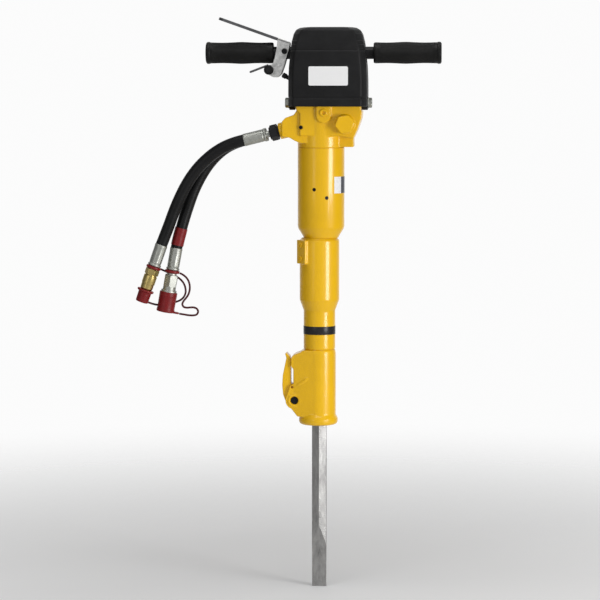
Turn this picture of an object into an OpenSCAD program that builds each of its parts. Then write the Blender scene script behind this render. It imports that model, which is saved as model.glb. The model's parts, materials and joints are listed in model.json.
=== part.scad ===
// Hand-held hydraulic breaker hammer with a narrow chisel, sprung handles,
// a start lever and a pair of hose tails with capped quick couplings.
// The origin is the chisel's tip, +Z runs up the tool axis, -Y is the front.

/* [Chisel] */
// Width across the flats of the hexagon steel
hex_af = 28; // [26:0.5:28]
// Thickness of the cutting edge
edge_t = 2.6; // [1.5:0.1:4]
// Radius of the hollow forged faces at the tip
forge_r = 520; // [480:10:600]
// Diameter of the collar
collar_d = 52; // [50:0.5:52]
/* [Body] */
// Diameter of the neck that holds the tool bush
neck_d = 61.5; // [60:0.5:64]
// Diameter of the lower body
lower_d = 77; // [74:0.5:80]
// Diameter of the cylinder
cyl_d = 90.6; // [88:0.2:94]
// How far the cylinder's outside is offset from the tool axis
cyl_shift = 3; // [0:0.5:4]
// Diameter of the tool retainer's tube
retainer_d = 64; // [63:0.5:66]
// Diameter of the flange at the retainer's mouth
flange_d = 76; // [74:0.5:80]
// Height of the marking band on the neck
band_h = 16; // [10:1:20]
/* [Cover] */
// Width of the cover at its widest
cover_w = 152; // [150:1:154]
// Depth of the cover from front to back
cover_d = 124; // [118:1:126]
// Wall thickness of the cover
cover_t = 4; // [3:0.5:5]
/* [Handles] */
// Diameter of the handle bars
bar_d = 24; // [22:0.5:24]
// Largest diameter of the grips
grip_d = 43; // [40:0.5:44]
// Length of each grip
grip_len = 131; // [126:1:132]
// Length of the start lever's blade
blade_len = 122; // [110:1:125]
// Width of the start lever's blade
blade_w = 30; // [26:1:32]
/* [Hoses] */
// Outer diameter of the hoses
hose_d = 23; // [20:0.5:23]
// Diameter of the cap lanyards
cord_d = 4; // [3:0.5:4]
// Half the distance between the two hose ports
port_y = 17.5; // [17:0.5:19]
/* [Hidden] */
$fn = 72;
e = 0.01;
fit = 0.05;
YELLOW = [0.94, 0.74, 0.05];
BLACK = [0.1, 0.1, 0.1];
STEEL = [0.62, 0.63, 0.65];
ZINC = [0.75, 0.76, 0.76];
BRASS = [0.8, 0.65, 0.3];
RED = [0.6, 0.06, 0.06];

// Heights along the tool axis
collar_z = 400;
shank_z = 582;
bush_z = 442;
neck_z = 469;
taper_z = 545;
lower_z = 566;
joint_z = 687;
head_z = 861;
deck_z = 950;
flange_z = 321.5;
piston_z = 603;

// Handle and lever axes
bar_z = 1044;
left_pin_x = 4.6;
right_pin_x = 28.6;
left_seat_x = -34;
right_seat_x = 67;
seat_y = 16;
lever_p = [-67, 1047];
catch_p = [-97, 1011];
barrel_p = [-83, 0, 1008];
cover_x = 17.5;
cover_z = 941;
cover_top = 1093;

// Start valve: its axis slopes down to the right through the cover's wall
valve_p = [-75, -8, 1004];
valve_tilt = 118;

// Hose tails: port origin, tilts from +Z toward +X, and hose ends
port_p = [-75, 0, 893.5];
port_tilt = 256;
male_p = [-308, -8, 672];
male_tilt = 199.5;
female_p = [-280.5, 9, 665];
female_tilt = 190.3;

function unit(v) = v / norm(v);
function arc(cx, cz, r, a0, a1, n = 6) =
    [for (i = [0:n]) [cx + r * cos(a0 + (a1 - a0) * i / n), cz + r * sin(a0 + (a1 - a0) * i / n)]];

// A cylinder along Z with a clear bore
module tube(ro, ri, z0, z1) {
    translate([0, 0, z0]) difference() {
        cylinder(r = ro, h = z1 - z0);
        translate([0, 0, -1]) cylinder(r = ri, h = z1 - z0 + 2);
    }
}

// A cylinder along Z between two heights
module rod(r, z0, z1) {
    translate([0, 0, z0]) cylinder(r = r, h = z1 - z0);
}

// A cylinder along Y at a place in the XZ plane
module rod_y(x, z, r, y0, y1) {
    translate([x, y1, z]) rotate([90, 0, 0]) cylinder(r = r, h = y1 - y0);
}

// A cylinder along X at a place in the YZ plane
module rod_x(y, z, r, x0, x1) {
    translate([x0, y, z]) rotate([0, 90, 0]) cylinder(r = r, h = x1 - x0);
}

// A hexagon along Z, across flats
module hex(af, z0, z1) {
    translate([0, 0, z0]) cylinder(r = af / sqrt(3), h = z1 - z0, $fn = 6);
}

// A box given by its low and high corners
module block(lo, hi) {
    translate(lo) cube(hi - lo);
}

// An outline in the XZ plane, extruded from y0 to y1
module slab(points, y0, y1) {
    translate([0, y1, 0]) rotate([90, 0, 0]) linear_extrude(y1 - y0) polygon(points);
}

// A solid of revolution about Z from [radius, height] points
module turned(points) {
    rotate_extrude() polygon(points);
}

// Moves and tilts +Z toward +X
module along(p, tilt) {
    translate(p) rotate([0, tilt, 0]) children();
}

// A round tube swept along route points, with rings square to the route
module sweep(route, d, sides, up = [0.02, 1, 0.03]) {
    n = len(route);
    function tangent(i) = unit(route[min(i + 1, n - 1)] - route[max(i - 1, 0)]);
    function side(i) = unit(cross(tangent(i), up));
    function ring(i) = [for (j = [0:sides - 1])
        route[i] + d / 2 * (cos(360 * j / sides) * side(i) + sin(360 * j / sides) * cross(side(i), tangent(i)))];
    points = [for (i = [0:n - 1]) each ring(i)];
    walls = [for (i = [0:n - 2], j = [0:sides - 1])
        [i * sides + j, i * sides + (j + 1) % sides, (i + 1) * sides + (j + 1) % sides, (i + 1) * sides + j]];
    first = [for (j = [sides - 1:-1:0]) j];
    last = [for (j = [0:sides - 1]) (n - 1) * sides + j];
    polyhedron(points, concat([first], walls, [last]), convexity = 6);
}

// A compression or torsion spring coiled about Z
module coil(r, wire, z0, z1, turns, steps = 12) {
    sweep_z = z1 - z0 - wire;
    sweep([for (i = [0:turns * steps]) [r * cos(360 * i / steps), r * sin(360 * i / steps),
        z0 + wire / 2 + sweep_z * i / (turns * steps)]], wire, 6, [0, 0, 1]);
}

// ---- Chisel and its holder ----

module chisel() {
    flat_turn = 30;
    color(STEEL) difference() {
        union() {
            rotate(flat_turn) hex(hex_af, 0, shank_z);
            turned([[0, collar_z], [19, collar_z], [collar_d / 2, collar_z + collar_d / 2 - 19],
                [collar_d / 2, collar_z + 16], [collar_d / 2 - 4, collar_z + 22], [0, collar_z + 22]]);
        }
        for (side = [-1, 1])
            translate([-30, side * (edge_t / 2 + forge_r), 0]) rotate([0, 90, 0])
                cylinder(r = forge_r, h = 60, $fn = 720);
        difference() {
            rod(20, shank_z - 4, shank_z + 1);
            translate([0, 0, shank_z - 4 - e]) cylinder(r1 = hex_af / sqrt(3) + 0.6, r2 = hex_af / 2 - 1, h = 5);
        }
    }
}

module tool_bush() {
    color(STEEL) difference() {
        union() {
            rod(22, bush_z + 5, lower_z - 6);
            rod(26.5, bush_z, bush_z + 5);
        }
        rotate(30) hex(hex_af + 0.6, bush_z - 1, lower_z);
    }
}

module front_body() {
    neck_r = neck_d / 2;
    lower_r = lower_d / 2;
    pad_a = 55;
    color(YELLOW) difference() {
        union() {
            turned([[0, bush_z + 5], [27, bush_z + 5], [27, neck_z], [neck_r - 1.5, neck_z], [neck_r, neck_z + 1.5],
                [neck_r, taper_z], [neck_r + 1.5, taper_z + 4], [lower_r - 1.5, lower_z - 4], [lower_r, lower_z],
                [lower_r, joint_z - 5], [lower_r - 2, joint_z - 3], [35, joint_z - 3], [35, joint_z],
                [0, joint_z]]);
            rotate(-pad_a) translate([0, 0, 660]) difference() {
                translate([-15, -43, -23]) cube([30, 43, 46]);
                for (z = [-23, 23])
                    translate([-20, -50, z - (z < 0 ? 0 : 8)]) cube([5, 10, 8]);
            }
        }
        rod(22 + fit, bush_z, lower_z - 6);
        rod(18.5, lower_z - 7, piston_z + 3 + e);
        rod(26 + fit, piston_z + 3, 656 + e);
        rod(30 + fit, 656, joint_z + 1);
        for (z = [647, 673])
            rotate(-pad_a) rod_y(0, z, 4 + fit, -50, -34);
    }
}

module marker_band() {
    color(BLACK) tube(neck_d / 2 + 0.5, neck_d / 2 + 0.02, 507 - band_h / 2, 507 + band_h / 2);
}

module retainer_housing() {
    r = retainer_d / 2;
    color(YELLOW) difference() {
        union() {
            turned([[0, flange_z + 15], [r, flange_z + 15], [r, 461], [r - 1, neck_z - 2], [r - 2.5, neck_z],
                [0, neck_z]]);
            translate([-2, 0, 0]) turned([[0, flange_z], [flange_d / 2 - 6, flange_z],
                [flange_d / 2 - 2, flange_z + 2], [flange_d / 2, flange_z + 6], [flange_d / 2, flange_z + 12],
                [flange_d / 2 - 2, flange_z + 16], [r + 1, flange_z + 20], [0, flange_z + 20]]);
            // side wing, whose faces run tangent into the barrel
            intersection() {
                slab(concat([[-8, 468], [-31, 468], [-36, 464], [-46, 460.5], [-52, 456.5], [-54.5, 451],
                    [-54.5, 436], [-50, 431], [-50, 402], [-57, 397]], arc(-48, 369.5, 17.5, 150, 250),
                    [[-42, 338], [-8, 338]]), -31, 31);
                translate([0, 0, 300]) linear_extrude(200)
                    polygon([[-8, -30.9], [-50, -20], [-80, -20], [-80, 20], [-50, 20], [-8, 30.9]]);
            }
            rod_y(-48, 369.5, 12.5, -21.8, 0);
        }
        rod(27.5, flange_z - 1, 445);
        rod(27 + fit, 445 - e, neck_z + 1);
        block([-90, -14.3, 352], [-20, 14.3, 418]);
        rod_y(-48, 369.5, 5 + fit, -26, 26);
        rod_y(-48, 369.5, 8, -26, -17);
        rod_y(-52.5, 395.5, 2.6, -22, -14);
    }
}

module retainer_latch() {
    color(YELLOW) difference() {
        union() {
            rod_y(-48, 369.5, 15.5, -13.7, 13.7);
            slab([[-66.5, 461], [-63, 461.8], [-60.5, 458.5], [-57, 455], [-55.2, 449], [-55, 403], [-51, 400], [-38, 405],
                [-28, 407.6], [-27.2, 407.3], [-19.5, 399.6], [-19.5, 390], [-32, 379], [-40, 369.5],
                [-48, 356], [-61, 361], [-66.5, 370], [-70.5, 381], [-72, 399], [-71, 418], [-67, 438],
                [-64, 452]], -13.7, 13.7);
        }
        rod_y(-48, 369.5, 5 + fit, -21, 21);
        rod_y(-48, 369.5, 10.5, 5, 21);
        rod_y(-58, 392, 0.9, -21, 21);
    }
}

module latch_pin() {
    color(STEEL) {
        rod_y(-48, 369.5, 5, -19, 19.8);
        difference() {
            rod_y(-48, 369.5, 7.4, -19.6, -17.2);
            translate([-48, -18.2, 369.5]) rotate([90, 0, 0]) hex(6, 0, 3);
        }
    }
}

module latch_spring() {
    color(STEEL) {
        translate([-48, 13.4, 369.5]) rotate([90, 0, 0]) coil(7.4, 1.8, 0, 8, 4);
    }
}

module pad_screws() {
    color(YELLOW) for (z = [647, 673])
        rotate(-55) difference() {
            union() {
                rod_y(0, z, 4, -43, -35);
                rod_y(0, z, 5.5, -45.5, -43);
            }
            translate([0, -44, z]) rotate([90, 0, 0]) hex(5, 0, 3);
        }
}

// ---- Hammer mechanism ----

module piston() {
    color(STEEL) turned([[0, piston_z], [13.5, piston_z], [15, piston_z + 1.5], [15, 690], [18, 690], [18, 735],
        [16.5, 737], [16.5, 760], [18, 762], [18, 790], [12, 790], [12, 849], [11, 850], [0, 850]]);
}

module piston_bush() {
    color(BRASS) difference() {
        tube(26, 15 + fit, piston_z + 3, 656);
        for (z = [615, 640])
            tube(18.5, 10, z, z + 5);
    }
}

module piston_seals() {
    color(BLACK) for (z = [615, 640])
        tube(18.4, 15.15, z + 0.1, z + 4.9);
}

module cylinder_liner() {
    color(STEEL) difference() {
        tube(30, 18 + fit, 656.1, 822);
        for (z = [700, 742, 786])
            tube(31, 27.5, z, z + 8);
        for (z = [704, 746, 790], a = [0:90:270])
            rotate(a + 20) rod_x(0, z, 2.5, 15, 35);
    }
}

module distributor_valve() {
    color(STEEL) difference() {
        tube(26, 12 + fit, 824, 846);
        tube(27, 22.5, 831, 837);
    }
}

module upper_cylinder() {
    r = cyl_d / 2;
    color(YELLOW) difference() {
        translate([cyl_shift, 0, 0]) turned([[0, joint_z], [34, joint_z], [34.5, joint_z + 2], [r - 1.5, joint_z + 17],
            [r, joint_z + 22], [r, head_z], [0, head_z]]);
        rod(30 + fit, joint_z - 1, 822 + e);
        rod(26 + fit, 822, head_z + 1);
        for (p = [[-10.5, 781.5], [20.5, 765.5]])
            rotate(p[0]) rod_y(0, p[1], 3.6, -60, -37.7);
    }
}

module gallery_plugs() {
    module plug() {
        difference() {
            rod_y(0, 0, 3.5, -6, 0);
            translate([0, -4, 0]) rotate([90, 0, 0]) hex(3, 0, 3);
        }
    }
    color(BLACK) for (p = [[-10.5, 781.5, -37.8], [20.5, 765.5, -39.0]])
        rotate(p[0]) translate([0, p[2], p[1]]) plug();
    color(BLACK) translate([-34, -37.5, 901]) plug();
}

module blank_label() {
    r = cyl_d / 2;
    color("white") translate([cyl_shift, 0, 774]) rotate(-53) rotate_extrude(angle = 58)
        translate([r + 0.02, 0]) square([0.3, 32]);
}

// ---- Backhead ----

module backhead_outside() {
    shift = [cyl_shift, 0, 0];
    translate(shift) rod(cyl_d / 2, head_z, 940);
    slab([[-36, 885], [40, 885], [67, 880], [74.5, 896], [82.5, 919], [83.5, 931], [81.5, 934], [81.5, deck_z],
        [-44, deck_z], [-44, 936], [-36, 928]], -44, 44);
    slab([[-71, 883], [-56, 881], [-46, 875], [-36, 871], [-10, 871], [-10, 934], [-42, 934], [-48, 925], [-64, 919.5],
        [-71, 912]], -38, 38);
    slab([[20, 863], [67, 863], [67, 882], [20, 882]], -28, 28);
    rod_y(10, 923.5, 14, -50, 0);
    block([-4, -50, 923.5], [24, 0, deck_z]);
    rod_y(51, 907, 18.5, -49, 0);
    for (y = [-port_y, port_y])
        along(port_p + [0, y, 0], port_tilt) rod(16, -30, 2);
    block([-46.9, -22, 942], [-38, 22, 962]);
    block([74, -22, 942], [81.9, 22, 962]);
    // lugs for the two arm pins
    for (y = [-34, 34])
        slab(concat([[-10, deck_z - 4]], [[44, deck_z - 4]], arc(right_pin_x, bar_z, 13, 0, 90),
            arc(left_pin_x, bar_z, 13, 90, 180)), y - 4, y + 4);
    // start valve housing
    along(valve_p, valve_tilt) rod(13, 56, 118);
    slab([[-24, 940], [28, 940], [28, 952], [-24, 978]], -20, 4);
    // spring seats
    for (x = [left_seat_x, right_seat_x])
        translate([x, seat_y, 0]) rod(18, deck_z - 4, 966);
}

module backhead() {
    color(YELLOW) difference() {
        backhead_outside();
        rod(13, head_z - 1, 892);
        rod_y(51, 907, 15 + fit, -50, 30);
        rod_y(51, 907, 5 + fit, 29, 46);
        along(valve_p, valve_tilt) rod(9 + fit, 55, 113);
        along(valve_p, valve_tilt) rod(5, 40, 60);
        for (x = [left_pin_x, right_pin_x])
            rod_y(x, bar_z, 5 + fit, -40, 40);
        rod_x(0, 948, 5, -48, -41);
        rod_x(0, 948, 5, 76, 83);
        for (y = [-port_y, port_y])
            along(port_p + [0, y, 0], port_tilt) rod(9 + fit, -22, 3);
        rod_y(10, 929, 5.5 + fit, -51, -38);
        rod_y(-34, 901, 3.6, -60, -37);
    }
}

module hex_plug() {
    color(YELLOW) difference() {
        union() {
            rod_y(51, 907, 15, -49, -28);
            rod_y(51, 907, 17.5, -51, -49);
            translate([51, -51, 907]) rotate([90, 0, 0]) rotate(10) hex(32.5, 0, 9);
        }
        difference() {
            rod_y(51, 907, 22, -61, -58);
            translate([51, -57, 907]) rotate([90, 0, 0]) cylinder(r1 = 19, r2 = 16, h = 3.2);
        }
    }
}

module socket_plug() {
    color(YELLOW) difference() {
        union() {
            rod_y(10, 929, 5.5, -50, -39);
            rod_y(10, 929, 7.5, -52.5, -50);
        }
        translate([10, -49, 929]) rotate([90, 0, 0]) hex(6, 0, 4);
    }
}

// The gas bladder in the accumulator's chamber behind the hexagon plug
module accumulator_diaphragm() {
    color(BLACK) translate([51, 0, 907]) rotate([90, 0, 0]) difference() {
        turned([[0, -18], [11, -18], [14.9, -8], [14.9, 26.5], [0, 26.5]]);
        turned([[0, -15.5], [9.5, -15.5], [12.4, -7], [12.4, 24], [0, 24]]);
    }
}

module charge_valve() {
    color(STEEL) {
        rod_y(51, 907, 5, 30.2, 44.1);
        translate([51, 44.1, 907]) rotate([-90, 0, 0]) {
            hex(17, 0, 6);
            rod(5, 6, 11);
        }
    }
}

module trigger_sleeve() {
    color(STEEL) along(valve_p, valve_tilt) difference() {
        tube(9, 5, 60, 112);
        for (z = [72, 86, 100])
            tube(10, 7.8, z, z + 5);
    }
}

// The spool's rear end pushes on its spring
module trigger_spool() {
    color(STEEL) along(valve_p, valve_tilt) turned([[0, 58], [4.95, 58], [4.95, 70], [3.4, 71], [3.4, 78],
        [4.95, 79], [4.95, 88], [0, 88]]);
}

module spool_spring() {
    color(STEEL) along(valve_p, valve_tilt) coil(3.6, 1.2, 89, 111.5, 6);
}

module push_rod() {
    color(BLACK) along(valve_p, valve_tilt) turned([[0, 4], [3, 4], [5.2, 5], [5.2, 12], [4, 13], [4, 57.9], [0, 57.9]]);
}

// ---- Cover ----

module cover_outline(inset, floor_z) {
    w = cover_w / 2 - inset;
    t = cover_top - inset;
    flank = [[w - 1, floor_z], [w, 955], [w - 0.3, 990], [w - 1.4, 1017], [w - 3.3, 1035], [w - 6.2, 1064],
        [w - 9.3, 1075]];
    intersection() {
        translate([cover_x, 0, 0]) slab(concat(
            [for (p = flank) [-p[0], p[1]]], arc(-50 + inset, t - 14, 14, 175, 90),
            arc(50 - inset, t - 14, 14, 90, 5), [for (i = [len(flank) - 1:-1:0]) flank[i]]), -100, 100);
        rotate([90, 0, 90]) translate([0, 0, -150]) linear_extrude(400) polygon(concat(
            [[-cover_d / 2 + inset + 1, floor_z], [-cover_d / 2 + inset, 975], [-cover_d / 2 + inset + 1, 1048]],
            arc(-50 + inset + 7, t - 9, 9, 160, 95, 3), arc(50 - inset - 7, t - 9, 9, 85, 20, 3),
            [[cover_d / 2 - inset - 1, 1048], [cover_d / 2 - inset, 975], [cover_d / 2 - inset - 1, floor_z]]));
        translate([cover_x, 0, floor_z - 1]) linear_extrude(200) polygon(cover_plan(inset));
    }
}

function cover_plan(inset) = [for (s = [[-1, -1], [1, -1], [1, 1], [-1, 1]], k = [0:4])
    let (i = s[0] * s[1] > 0 ? k : 4 - k, w = cover_w / 2 - inset, d = cover_d / 2 - inset)
    [s[0] * (w - [0, 1.5, 5, 9, 14][i]), s[1] * (d - [26, 13, 4.5, 1.2, 0][i])]];

module cover() {
    color(BLACK) difference() {
        union() {
            cover_outline(0, cover_z);
            rod_x(0, 948, 14, cover_x - cover_w / 2, cover_x - cover_w / 2 + 11.5);
            rod_x(0, 948, 14, cover_x + cover_w / 2 - 11.5, cover_x + cover_w / 2);
        }
        cover_outline(cover_t, cover_z - 10);
        block([-80, -15.5, bar_z - 19], [-30, 15.5, bar_z + 19]);
        block([70, -15.5, bar_z - 19], [110, 15.5, bar_z + 19]);
        along(valve_p, valve_tilt) rod(8, 5, 40);
        rod_x(0, 948, 5.5, -80, 120);
    }
}

module cover_bolts() {
    color(ZINC) for (side = [-1, 1])
        translate([cover_x + side * (cover_w / 2 + e), 0, 948]) rotate([0, side * 90, 0]) {
            rod(4.9, -16, 0);
            rod(11, 0, 1.8);
            hex(17, 1.8, 8.5);
        }
}

module blank_badge() {
    color("white") block([-18.5, -cover_d / 2 - 0.4, 981], [57.5, -cover_d / 2 - 0.02 + 0.6, 1017.7]);
}

// ---- Handles ----

module arm_pins() {
    color(STEEL) for (x = [left_pin_x, right_pin_x]) {
        rod_y(x, bar_z, 5, -37.9, 39);
        rod_y(x, bar_z, 7.5, -40.4, -38);
        rod_y(x, bar_z, 7, 39, 40.5);
    }
}

module arm_stops() {
    color(BLACK) for (x = [left_seat_x, right_seat_x])
        translate([x, seat_y, 0]) rod(7, 966, bar_z - 14.6);
}

// One handle arm: hub, beam, spring seat and bar
module arm(pin_x, seat_x, end_x, hub_y0, hub_y1) {
    dir = sign(end_x - pin_x);
    far = seat_x + dir * 8;
    block([min(pin_x, far), -11, bar_z - 11], [max(pin_x, far), 11, bar_z + 11]);
    rod_x(0, bar_z, bar_d / 2, min(seat_x, end_x), max(seat_x, end_x));
    rod_y(pin_x, bar_z, 11, hub_y0, hub_y1);
    translate([seat_x, seat_y, 0]) rod(14, bar_z - 11, bar_z - 4);
    block([seat_x - 8, 0, bar_z - 11], [seat_x + 8, seat_y, bar_z - 4]);
}

module left_arm() {
    color(BLACK) difference() {
        union() {
            arm(left_pin_x, left_seat_x, -212, -29.5, -0.3);
            block([-78, -15, bar_z - 12], [-57, 15, bar_z + 13]);
        }
        rod_y(left_pin_x, bar_z, 5 + fit, -40, 40);
        block([-7, -0.3, 1000], [30, 40, 1100]);
        rod_y(lever_p[0], lever_p[1], 4 + fit, -20, 20);
    }
}

module right_arm() {
    color(BLACK) difference() {
        arm(right_pin_x, right_seat_x, 227.5, 0.3, 29.5);
        rod_y(right_pin_x, bar_z, 5 + fit, -40, 40);
        block([0, -40, 1000], [right_pin_x + 11.5, 0.3, 1100]);
    }
}

module left_arm_spring() {
    color(STEEL) translate([left_seat_x, seat_y, 0]) coil(11, 4.5, 966.1, bar_z - 11.1, 6);
}

module right_arm_spring() {
    color(STEEL) translate([right_seat_x, seat_y, 0]) coil(11, 4.5, 966.1, bar_z - 11.1, 6);
}

// A moulded grip with finger waves, drawn outward from its inner end along +Z
module grip() {
    r = grip_d / 2;
    wave = 1.2;
    steps = 24;
    body = [for (i = [0:steps]) [r - wave + wave * cos(360 * 2 * i / steps), 4 + (grip_len - 14) * i / steps]];
    difference() {
        turned(concat([[0, 0], [r - 3, 0], [r - 0.5, 2]], body,
            [[r + 0.5, grip_len - 6], [r - 1, grip_len - 2], [r - 5, grip_len], [0, grip_len]]));
        rod(bar_d / 2 + 0.02, -1, grip_len - 7);
    }
}

module left_grip() {
    color(BLACK) translate([-89, 0, bar_z]) rotate([0, -90, 0]) grip();
}

module right_grip() {
    color(BLACK) translate([104.5, 0, bar_z]) rotate([0, 90, 0]) grip();
}

// ---- Start lever and catch ----

module lever_pin() {
    color(STEEL) translate([lever_p[0], 0, lever_p[1]]) rotate([90, 0, 0]) {
        rod(3.97, -21, 20);
        rod(6, 20, 22);
        rod(5.5, -22.5, -21);
    }
}

module throttle_lever() {
    cheek = [[-80, 1073], [-56.5, 1064.7], [-57.5, 1055], [-67, 1021], [-73.5, 1003], [-81, 997], [-89, 997],
        [-103, 1005], [-104, 1015], [-98, 1021], [-90, 1022], [-86, 1033], [-82, 1053]];
    slope = 19.5;
    color(ZINC) difference() {
        union() {
            slab(cheek, -18.5, -16);
            slab(cheek, 16, 18.5);
            along(barrel_p, valve_tilt) rod(8.5, -7, 7);
            rod_y(barrel_p[0], barrel_p[2], 6.5, -17, 17);
            translate([-56.5, 0, 1063.6]) rotate([0, 180 + slope, 0]) translate([0, -18.5, 0]) cube([24.5, 37, 3]);
            translate([-79, 0, 1072.5]) rotate([0, 180 + slope, 0]) {
                translate([-1, -blade_w / 2, 0]) cube([blade_len - blade_w / 2 + 1, blade_w, 3]);
                translate([blade_len - blade_w / 2, 0, 0]) cylinder(d = blade_w, h = 3);
            }
        }
        rod_y(lever_p[0], lever_p[1], 4 + fit, -20, 20);
        rod_y(catch_p[0], catch_p[1], 2.5 + fit, -20, 20);
    }
}

module catch_pin() {
    color(STEEL) translate([catch_p[0], 0, catch_p[1]]) rotate([90, 0, 0]) {
        rod(2.5, -19.5, 29.5);
        rod(4.5, 29.5, 31);
    }
}

// The finger rod of the safety catch
module safety_catch() {
    color(ZINC) translate([catch_p[0] - 0.5, -24, catch_p[1] + 9.4]) rotate([0, -111, 0]) {
        rod(2.1, 0, 37);
        translate([0, 0, 37]) sphere(r = 2.1);
    }
}

// The moulded hub that the finger rod is fixed in
module catch_knob() {
    color(BLACK) translate([catch_p[0], 0, catch_p[1]]) rotate([90, 0, 0]) difference() {
        turned([[0, 19], [8, 19], [9.2, 20], [9.2, 27.5], [7.5, 29.2], [0, 29.2]]);
        rod(2.5 + fit, 18, 30);
    }
}

// ---- Hose tails ----

module hose_adaptors() {
    color(ZINC) for (y = [-port_y, port_y])
        along(port_p + [0, y, 0], port_tilt) difference() {
            union() {
                rod(9, -18, 4);
                rod(11.5, 2.1, 6);
                rod(8, 6, 12);
            }
            rod(4.5, -19, 13);
        }
}

module hose_nuts() {
    color(BLACK) for (y = [-port_y, port_y])
        along(port_p + [0, y, 0], port_tilt) difference() {
            union() {
                hex(27, 6.1, 19);
                rod(12, 19, 21);
            }
            rod(8.05, 5, 12.5);
            rod(6.5, 12, 22);
        }
}

// A crimped ferrule with its stem, drawn from its flange end along +Z
module ferrule(len, stem) {
    difference() {
        union() {
            turned([[0, 0], [11.5, 0], [13, 1], [13, 4], [11.2, 5], [12, 7], [12, len - 6], [12.3, len - 2],
                [11.6, len], [0, len]]);
            rod(6.4, -stem, 0);
        }
        rod(4.5, -stem - 1, len + 1);
    }
}

module upper_ferrules() {
    color(ZINC) for (y = [-port_y, port_y])
        along(port_p + [0, y, 0], port_tilt) translate([0, 0, 28]) ferrule(45, 13);
}

module lower_ferrules() {
    color(ZINC) {
        along(male_p, male_tilt) translate([0, 0, 44]) rotate([180, 0, 0]) ferrule(44, 6.5);
        along(female_p, female_tilt) translate([0, 0, 44]) rotate([180, 0, 0]) ferrule(44, 6.5);
    }
}

PRESSURE_ROUTE = [[-145.8, -17.5, 875.8], [-166, -17.5, 870], [-185, -17, 862], [-203, -16.5, 851],
    [-219, -16, 838], [-234, -15, 823], [-247, -14, 806.5], [-258.5, -13, 788.5], [-268.5, -12, 769.5],
    [-277.5, -11, 750], [-285.5, -10, 730], [-293, -9, 710], [-300.5, -8.5, 691], [-308, -8, 672]];
RETURN_ROUTE = [[-145.8, 17.5, 875.8], [-164, 17.5, 870], [-181.5, 17, 861.5], [-197, 16.5, 850],
    [-210.5, 16, 836.5], [-222.5, 15, 821], [-233, 14, 804], [-242.5, 13, 785.5], [-250.5, 12, 766.5],
    [-257.5, 11.5, 746.5], [-264, 11, 726.5], [-270, 10, 706], [-275.5, 9.5, 685.5], [-280.5, 9, 665]];
MALE_LANYARD = [[-314.7, 3.4, 624.4], [-311, 9, 622.5], [-306, 16, 619.5], [-299, 22.5, 615.5], [-291, 27, 611.5],
    [-283, 28.5, 607], [-275, 27, 601.5], [-268.5, 25, 594], [-265, 23, 585], [-264.5, 22, 576],
    [-268, 23, 567.5], [-275, 26.5, 561], [-284, 30, 557], [-294, 32, 554], [-304, 31.5, 552],
    [-313, 27, 551], [-321, 19.5, 552], [-328.5, 11.5, 554.5], [-336, 3.5, 558]];
FEMALE_LANYARD = [[-274.2, 9, 615.3], [-268, 9, 612], [-261.5, 9, 606.5], [-257, 8.5, 599.5], [-254.8, 8, 591],
    [-255, 8, 582], [-257.5, 7.5, 573.5], [-262, 7.5, 566.5], [-267, 8, 560.5], [-269.5, 8, 554],
    [-266.5, 8, 549], [-260.5, 8, 547.5], [-254, 8, 548], [-247, 8, 548], [-241, 8, 545.5],
    [-238.5, 8, 540], [-241, 8, 534.5], [-247, 8.5, 532.5], [-256, 9, 532.5], [-266, 9, 534],
    [-275.9, 9, 535.5]];

module pressure_hose() {
    color(BLACK) sweep(PRESSURE_ROUTE, hose_d, 12);
}

module return_hose() {
    color(BLACK) sweep(RETURN_ROUTE, hose_d, 12);
}

module hose_marker() {
    color(RED) along([-271.5, 10, 700], 194) tube(hose_d / 2 + 1.2, hose_d / 2 + 0.4, 0, 30);
}

module cap_rings() {
    color(RED) {
        along(male_p, male_tilt) tube(14.5, 6.45, 44.5, 50);
        along(female_p, female_tilt) tube(14.5, 6.45, 44.5, 50);
    }
}

module male_coupler() {
    color(BRASS) along(male_p, male_tilt) difference() {
        union() {
            hex(24, 50.5, 62);
            turned([[0, 62], [12.5, 62], [13, 63], [13, 80], [12.2, 81], [12.2, 90], [11, 92], [9.5, 92], [9.5, 96],
                [8.4, 97], [8.4, 100], [9.5, 101], [9.5, 108], [8.5, 109], [0, 109]]);
        }
        rod(6.5, 72, 110);
        rod(4.5, 46, 73);
    }
}

module female_coupler() {
    color(ZINC) along(female_p, female_tilt) difference() {
        union() {
            rod(9.5, 50.5, 54);
            rotate(30) hex(24, 54, 77.5);
            turned([[0, 77.5], [12.6, 77.5], [12.6, 118], [0, 118]]);
        }
        rod(9.6, 92, 119);
        rod(7, 70, 93);
        rod(4.5, 46, 71);
    }
}

module coupler_sleeve() {
    color(ZINC) along(female_p, female_tilt) difference() {
        turned([[0, 84], [14.6, 84], [15.2, 85], [15.2, 95], [14.4, 96], [14.4, 100], [15.2, 101], [15.2, 115],
            [14.6, 116], [0, 116]]);
        rod(12.6 + fit, 83, 117);
    }
}

module male_poppet() {
    color(STEEL) along(male_p, male_tilt) turned([[0, 88], [6.45, 88], [6.45, 104], [5, 107], [0, 107]]);
}

module female_poppet() {
    color(STEEL) along(female_p, female_tilt) turned([[0, 78], [6.95, 78], [6.95, 88], [5, 91], [0, 91]]);
}

module male_cap() {
    color(RED) along(male_p, male_tilt) difference() {
        union() {
            turned([[0, 93], [15.5, 93], [16.5, 94], [16.5, 96], [15.5, 97], [12.8, 98], [12.4, 117], [11.4, 119],
                [0, 119]]);
            rotate(135) block([9, -3.5, 115.5], [16, 3.5, 119]);
        }
        rod(10.9, 92, 115.5);
    }
}

module female_cap() {
    color(RED) along(female_p, female_tilt) difference() {
        union() {
            turned([[0, 88], [16.6, 88], [17.4, 89], [17, 126], [16, 128], [0, 128]]);
            turned([[0, 124], [17.8, 124], [17.8, 127], [16.8, 128], [0, 128]]);
            slab([[-27, 124.5], [-10, 124.5], [-10, 128], [-27, 128]], -5, 5);
        }
        rod(15.6, 87, 124);
    }
}

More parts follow.
